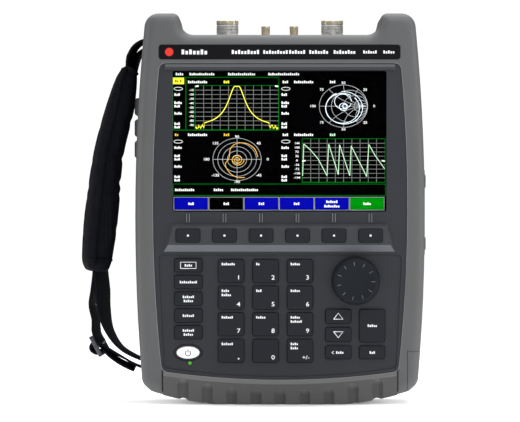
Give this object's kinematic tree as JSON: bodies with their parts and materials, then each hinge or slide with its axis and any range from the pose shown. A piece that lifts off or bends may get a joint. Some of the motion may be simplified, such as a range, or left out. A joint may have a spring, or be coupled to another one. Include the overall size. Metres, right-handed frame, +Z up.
{
  "type": "vector network analyzer",
  "caption": "Handheld radio test instrument with a colour screen, rubber keys, a tuning knob, coaxial test ports in a top bay, a padded hand strap and a fold-out bail.",
  "frame": {"origin": "middle of the flat land that the instrument stands on, under the centre of the housing", "axes": "+X right seen from the front, +Y from the screen to the back, +Z up to the connector bay"},
  "size_m": [0.2413, 0.0811, 0.2724],
  "materials": {
    "shell_grey": "soft grey rubber-coated shell",
    "bumper_rubber": "moulded rubber",
    "panel_plastic": "fine-textured dark plastic",
    "ridge_plastic": "fine-textured dark plastic",
    "key_rubber": "satin silicone keys",
    "knob_plastic": "satin black plastic",
    "white_plastic": "satin white plastic",
    "lamp_green": "clear green lens",
    "gloss_black": "gloss black film",
    "screen_glass": "anti-glare glass",
    "black_metal": "black painted frame",
    "board": "glass-fibre circuit board",
    "aluminium": "sheet aluminium",
    "tinned_steel": "tinned steel",
    "battery_plastic": "black plastic case",
    "port_steel": "passivated steel",
    "gold_brass": "gold plated",
    "rod_steel": "dark plated steel",
    "socket_metal": "dark socket block",
    "strap_fabric": "black padded nylon",
    "webbing": "black woven webbing",
    "buckle_plastic": "black acetal buckle"
  },
  "bodies": {
    "housing": {"battery_pack": "battery_plastic", "bottom_bumper": "bumper_rubber", "chassis": "aluminium", "connector_panel": "panel_plastic", "display_module": "black_metal", "display_window": "screen_glass", "front_panel": "panel_plastic", "front_shell": "shell_grey", "grip_pads": "bumper_rubber", "io_socket_block": "socket_metal", "key_board": "board", "keypad_panel": "panel_plastic", "label_strip": "gloss_black", "main_board": "board", "radio_module": "aluminium", "rear_shell": "shell_grey", "rotary_encoder": "tinned_steel", "shell_screws": "rod_steel", "small_jacks": "gold_brass", "softkey_ridge": "ridge_plastic", "status_lamp": "lamp_green", "strap_bars": "rod_steel", "strap_buckle": "buckle_plastic", "strap_pad": "strap_fabric", "strap_webbing": "webbing", "test_port_left": "port_steel", "test_port_right": "port_steel"},
    "back_key": {"back_key": "key_rubber"},
    "digit_key_01": {"digit_key_01": "key_rubber"},
    "digit_key_02": {"digit_key_02": "key_rubber"},
    "digit_key_03": {"digit_key_03": "key_rubber"},
    "digit_key_04": {"digit_key_04": "key_rubber"},
    "digit_key_05": {"digit_key_05": "key_rubber"},
    "digit_key_06": {"digit_key_06": "key_rubber"},
    "digit_key_07": {"digit_key_07": "key_rubber"},
    "digit_key_08": {"digit_key_08": "key_rubber"},
    "digit_key_09": {"digit_key_09": "key_rubber"},
    "digit_key_10": {"digit_key_10": "key_rubber"},
    "digit_key_11": {"digit_key_11": "key_rubber"},
    "digit_key_12": {"digit_key_12": "key_rubber"},
    "down_key": {"down_key": "key_rubber"},
    "enter_key": {"enter_key": "key_rubber"},
    "escape_key": {"escape_key": "key_rubber"},
    "function_key_1": {"function_key_1": "key_rubber"},
    "function_key_2": {"function_key_2": "key_rubber"},
    "function_key_3": {"function_key_3": "key_rubber"},
    "function_key_4": {"function_key_4": "key_rubber"},
    "function_key_5": {"function_key_5": "key_rubber"},
    "soft_key_1": {"soft_key_1": "key_rubber"},
    "soft_key_2": {"soft_key_2": "key_rubber"},
    "soft_key_3": {"soft_key_3": "key_rubber"},
    "soft_key_4": {"soft_key_4": "key_rubber"},
    "soft_key_5": {"soft_key_5": "key_rubber"},
    "soft_key_6": {"soft_key_6": "key_rubber"},
    "up_key": {"up_key": "key_rubber"},
    "power_button": {"power_button": "white_plastic"},
    "knob": {"knob": "knob_plastic"},
    "bail_stand": {"bail_stand": "rod_steel"},
    "io_door": {"io_door": "bumper_rubber"},
    "battery_door": {"battery_door": "shell_grey"}
  },
  "joints": [
    {"name": "knob_turn", "type": "hinge", "parent": "housing", "child": "knob", "pos_m": [0.0526, -0.04, 0.0859], "axis": [0, -1, 0], "continuous": true},
    {"name": "bail_swing", "type": "hinge", "parent": "housing", "child": "bail_stand", "pos_m": [0, 0.0327, 0.15], "axis": [1, 0, 0], "range_deg": [0, 70]},
    {"name": "io_door_swing", "type": "hinge", "parent": "housing", "child": "io_door", "pos_m": [0.1012, 0.0245, 0.1335], "axis": [0, 0, 1], "range_deg": [0, 100]},
    {"name": "battery_door_swing", "type": "hinge", "parent": "housing", "child": "battery_door", "pos_m": [0.0976, 0.028, 0.025], "axis": [0, 0, 1], "range_deg": [0, 100]},
    {"name": "back_key_press", "type": "slide", "parent": "housing", "child": "back_key", "axis": [0, 1, 0], "range_m": [0, 0.0012], "stiffness_N_per_m": 300},
    {"name": "digit_key_01_press", "type": "slide", "parent": "housing", "child": "digit_key_01", "axis": [0, 1, 0], "range_m": [0, 0.0012], "stiffness_N_per_m": 300},
    {"name": "digit_key_02_press", "type": "slide", "parent": "housing", "child": "digit_key_02", "axis": [0, 1, 0], "range_m": [0, 0.0012], "stiffness_N_per_m": 300},
    {"name": "digit_key_03_press", "type": "slide", "parent": "housing", "child": "digit_key_03", "axis": [0, 1, 0], "range_m": [0, 0.0012], "stiffness_N_per_m": 300},
    {"name": "digit_key_04_press", "type": "slide", "parent": "housing", "child": "digit_key_04", "axis": [0, 1, 0], "range_m": [0, 0.0012], "stiffness_N_per_m": 300},
    {"name": "digit_key_05_press", "type": "slide", "parent": "housing", "child": "digit_key_05", "axis": [0, 1, 0], "range_m": [0, 0.0012], "stiffness_N_per_m": 300},
    {"name": "digit_key_06_press", "type": "slide", "parent": "housing", "child": "digit_key_06", "axis": [0, 1, 0], "range_m": [0, 0.0012], "stiffness_N_per_m": 300},
    {"name": "digit_key_07_press", "type": "slide", "parent": "housing", "child": "digit_key_07", "axis": [0, 1, 0], "range_m": [0, 0.0012], "stiffness_N_per_m": 300},
    {"name": "digit_key_08_press", "type": "slide", "parent": "housing", "child": "digit_key_08", "axis": [0, 1, 0], "range_m": [0, 0.0012], "stiffness_N_per_m": 300},
    {"name": "digit_key_09_press", "type": "slide", "parent": "housing", "child": "digit_key_09", "axis": [0, 1, 0], "range_m": [0, 0.0012], "stiffness_N_per_m": 300},
    {"name": "digit_key_10_press", "type": "slide", "parent": "housing", "child": "digit_key_10", "axis": [0, 1, 0], "range_m": [0, 0.0012], "stiffness_N_per_m": 300},
    {"name": "digit_key_11_press", "type": "slide", "parent": "housing", "child": "digit_key_11", "axis": [0, 1, 0], "range_m": [0, 0.0012], "stiffness_N_per_m": 300},
    {"name": "digit_key_12_press", "type": "slide", "parent": "housing", "child": "digit_key_12", "axis": [0, 1, 0], "range_m": [0, 0.0012], "stiffness_N_per_m": 300},
    {"name": "down_key_press", "type": "slide", "parent": "housing", "child": "down_key", "axis": [0, 1, 0], "range_m": [0, 0.0012], "stiffness_N_per_m": 300},
    {"name": "enter_key_press", "type": "slide", "parent": "housing", "child": "enter_key", "axis": [0, 1, 0], "range_m": [0, 0.0012], "stiffness_N_per_m": 300},
    {"name": "escape_key_press", "type": "slide", "parent": "housing", "child": "escape_key", "axis": [0, 1, 0], "range_m": [0, 0.0012], "stiffness_N_per_m": 300},
    {"name": "function_key_1_press", "type": "slide", "parent": "housing", "child": "function_key_1", "axis": [0, 1, 0], "range_m": [0, 0.0012], "stiffness_N_per_m": 300},
    {"name": "function_key_2_press", "type": "slide", "parent": "housing", "child": "function_key_2", "axis": [0, 1, 0], "range_m": [0, 0.0012], "stiffness_N_per_m": 300},
    {"name": "function_key_3_press", "type": "slide", "parent": "housing", "child": "function_key_3", "axis": [0, 1, 0], "range_m": [0, 0.0012], "stiffness_N_per_m": 300},
    {"name": "function_key_4_press", "type": "slide", "parent": "housing", "child": "function_key_4", "axis": [0, 1, 0], "range_m": [0, 0.0012], "stiffness_N_per_m": 300},
    {"name": "function_key_5_press", "type": "slide", "parent": "housing", "child": "function_key_5", "axis": [0, 1, 0], "range_m": [0, 0.0012], "stiffness_N_per_m": 300},
    {"name": "soft_key_1_press", "type": "slide", "parent": "housing", "child": "soft_key_1", "axis": [0, 1, 0], "range_m": [0, 0.0012], "stiffness_N_per_m": 300},
    {"name": "soft_key_2_press", "type": "slide", "parent": "housing", "child": "soft_key_2", "axis": [0, 1, 0], "range_m": [0, 0.0012], "stiffness_N_per_m": 300},
    {"name": "soft_key_3_press", "type": "slide", "parent": "housing", "child": "soft_key_3", "axis": [0, 1, 0], "range_m": [0, 0.0012], "stiffness_N_per_m": 300},
    {"name": "soft_key_4_press", "type": "slide", "parent": "housing", "child": "soft_key_4", "axis": [0, 1, 0], "range_m": [0, 0.0012], "stiffness_N_per_m": 300},
    {"name": "soft_key_5_press", "type": "slide", "parent": "housing", "child": "soft_key_5", "axis": [0, 1, 0], "range_m": [0, 0.0012], "stiffness_N_per_m": 300},
    {"name": "soft_key_6_press", "type": "slide", "parent": "housing", "child": "soft_key_6", "axis": [0, 1, 0], "range_m": [0, 0.0012], "stiffness_N_per_m": 300},
    {"name": "up_key_press", "type": "slide", "parent": "housing", "child": "up_key", "axis": [0, 1, 0], "range_m": [0, 0.0012], "stiffness_N_per_m": 300},
    {"name": "power_button_press", "type": "slide", "parent": "housing", "child": "power_button", "axis": [0, 1, 0], "range_m": [0, 0.0012], "stiffness_N_per_m": 300}
  ]
}
